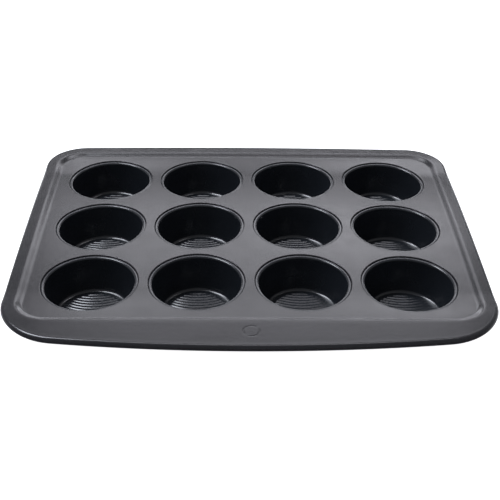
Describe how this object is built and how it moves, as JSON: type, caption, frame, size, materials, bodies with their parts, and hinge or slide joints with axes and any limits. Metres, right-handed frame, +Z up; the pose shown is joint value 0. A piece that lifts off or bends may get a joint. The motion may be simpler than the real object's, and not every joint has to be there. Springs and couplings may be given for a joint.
{
  "type": "muffin tin",
  "caption": "Shallow rectangular baking tin: a grid of round tapered cups set in a recessed deck, with a raised flange, a wired rolled rim and a wider, bowed front edge.",
  "frame": {"origin": "centre of the outline's bounding box, at the height of the undersides of the cups, where the tin stands", "axes": "+X to the right along the long side, +Y from the wide bowed front flange to the back, +Z up out of the cup mouths"},
  "size_m": [0.3842, 0.3218, 0.0335],
  "materials": {
    "deck_coating": "satin charcoal non-stick coating on carbon steel sheet",
    "cup_coating": "satin charcoal non-stick coating on carbon steel sheet",
    "wire_steel": "drawn steel wire, hidden inside the rolled edge"
  },
  "bodies": {
    "root": {"deck": "deck_coating", "rim_wire": "wire_steel", "cup_front_1": "cup_coating", "cup_front_2": "cup_coating", "cup_front_3": "cup_coating", "cup_front_4": "cup_coating", "cup_middle_1": "cup_coating", "cup_middle_2": "cup_coating", "cup_middle_3": "cup_coating", "cup_middle_4": "cup_coating", "cup_back_1": "cup_coating", "cup_back_2": "cup_coating", "cup_back_3": "cup_coating", "cup_back_4": "cup_coating"}
  },
  "joints": []
}
